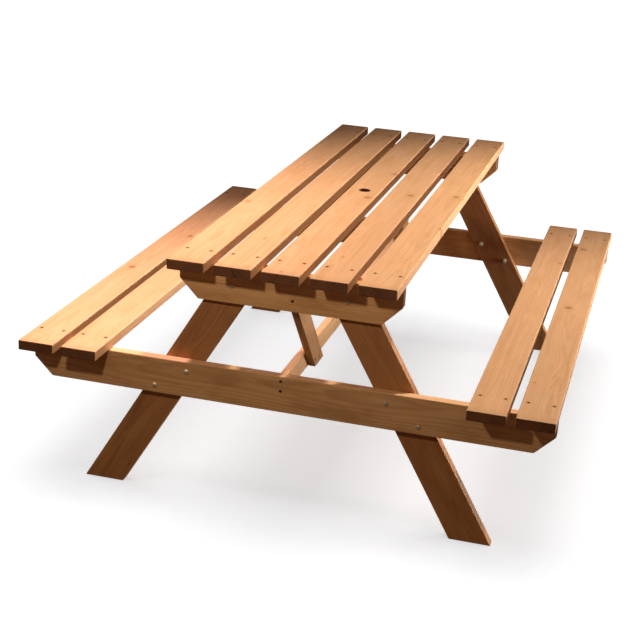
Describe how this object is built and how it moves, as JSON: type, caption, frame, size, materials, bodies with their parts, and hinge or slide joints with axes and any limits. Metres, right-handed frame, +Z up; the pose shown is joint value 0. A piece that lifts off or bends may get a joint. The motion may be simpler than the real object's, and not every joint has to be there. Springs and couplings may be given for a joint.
{
  "type": "picnic table",
  "caption": "A-frame timber picnic table with a slatted top, a parasol hole and fixed slatted benches along both sides.",
  "frame": {"origin": "on the ground, under the middle of the table", "axes": "+X across the benches towards the right bench, +Y along the boards towards the rear end, +Z up"},
  "size_m": [1.406, 1.75, 0.7],
  "materials": {
    "board_wood": "oiled planed pine, satin",
    "frame_wood": "brown impregnated planed pine, satin",
    "fastener_steel": "zinc plated"
  },
  "bodies": {
    "root": {"bolt_front_left_seat_lower": "fastener_steel", "bolt_front_left_seat_upper": "fastener_steel", "bolt_front_left_top": "fastener_steel", "bolt_front_right_seat_lower": "fastener_steel", "bolt_front_right_seat_upper": "fastener_steel", "bolt_front_right_top": "fastener_steel", "bolt_rear_left_seat_lower": "fastener_steel", "bolt_rear_left_seat_upper": "fastener_steel", "bolt_rear_left_top": "fastener_steel", "bolt_rear_right_seat_lower": "fastener_steel", "bolt_rear_right_seat_upper": "fastener_steel", "bolt_rear_right_top": "fastener_steel", "brace_front": "frame_wood", "brace_rear": "frame_wood", "brace_screw_front_lower": "fastener_steel", "brace_screw_front_upper": "fastener_steel", "brace_screw_rear_lower": "fastener_steel", "brace_screw_rear_upper": "fastener_steel", "leg_front_left": "frame_wood", "leg_front_right": "frame_wood", "leg_rear_left": "frame_wood", "leg_rear_right": "frame_wood", "nut_front_left_seat_lower": "fastener_steel", "nut_front_left_seat_upper": "fastener_steel", "nut_front_left_top": "fastener_steel", "nut_front_right_seat_lower": "fastener_steel", "nut_front_right_seat_upper": "fastener_steel", "nut_front_right_top": "fastener_steel", "nut_rear_left_seat_lower": "fastener_steel", "nut_rear_left_seat_upper": "fastener_steel", "nut_rear_left_top": "fastener_steel", "nut_rear_right_seat_lower": "fastener_steel", "nut_rear_right_seat_upper": "fastener_steel", "nut_rear_right_top": "fastener_steel", "seat_bearer_front": "frame_wood", "seat_bearer_rear": "frame_wood", "seat_board_left_inner": "board_wood", "seat_board_left_outer": "board_wood", "seat_board_right_inner": "board_wood", "seat_board_right_outer": "board_wood", "stretcher": "frame_wood", "top_bearer_front": "frame_wood", "top_bearer_rear": "frame_wood", "top_board_1": "board_wood", "top_board_2": "board_wood", "top_board_3": "board_wood", "top_board_4": "board_wood", "top_board_5": "board_wood", "washer_front_left_seat_lower": "fastener_steel", "washer_front_left_seat_upper": "fastener_steel", "washer_front_left_top": "fastener_steel", "washer_front_right_seat_lower": "fastener_steel", "washer_front_right_seat_upper": "fastener_steel", "washer_front_right_top": "fastener_steel", "washer_rear_left_seat_lower": "fastener_steel", "washer_rear_left_seat_upper": "fastener_steel", "washer_rear_left_top": "fastener_steel", "washer_rear_right_seat_lower": "fastener_steel", "washer_rear_right_seat_upper": "fastener_steel", "washer_rear_right_top": "fastener_steel"}
  },
  "joints": []
}
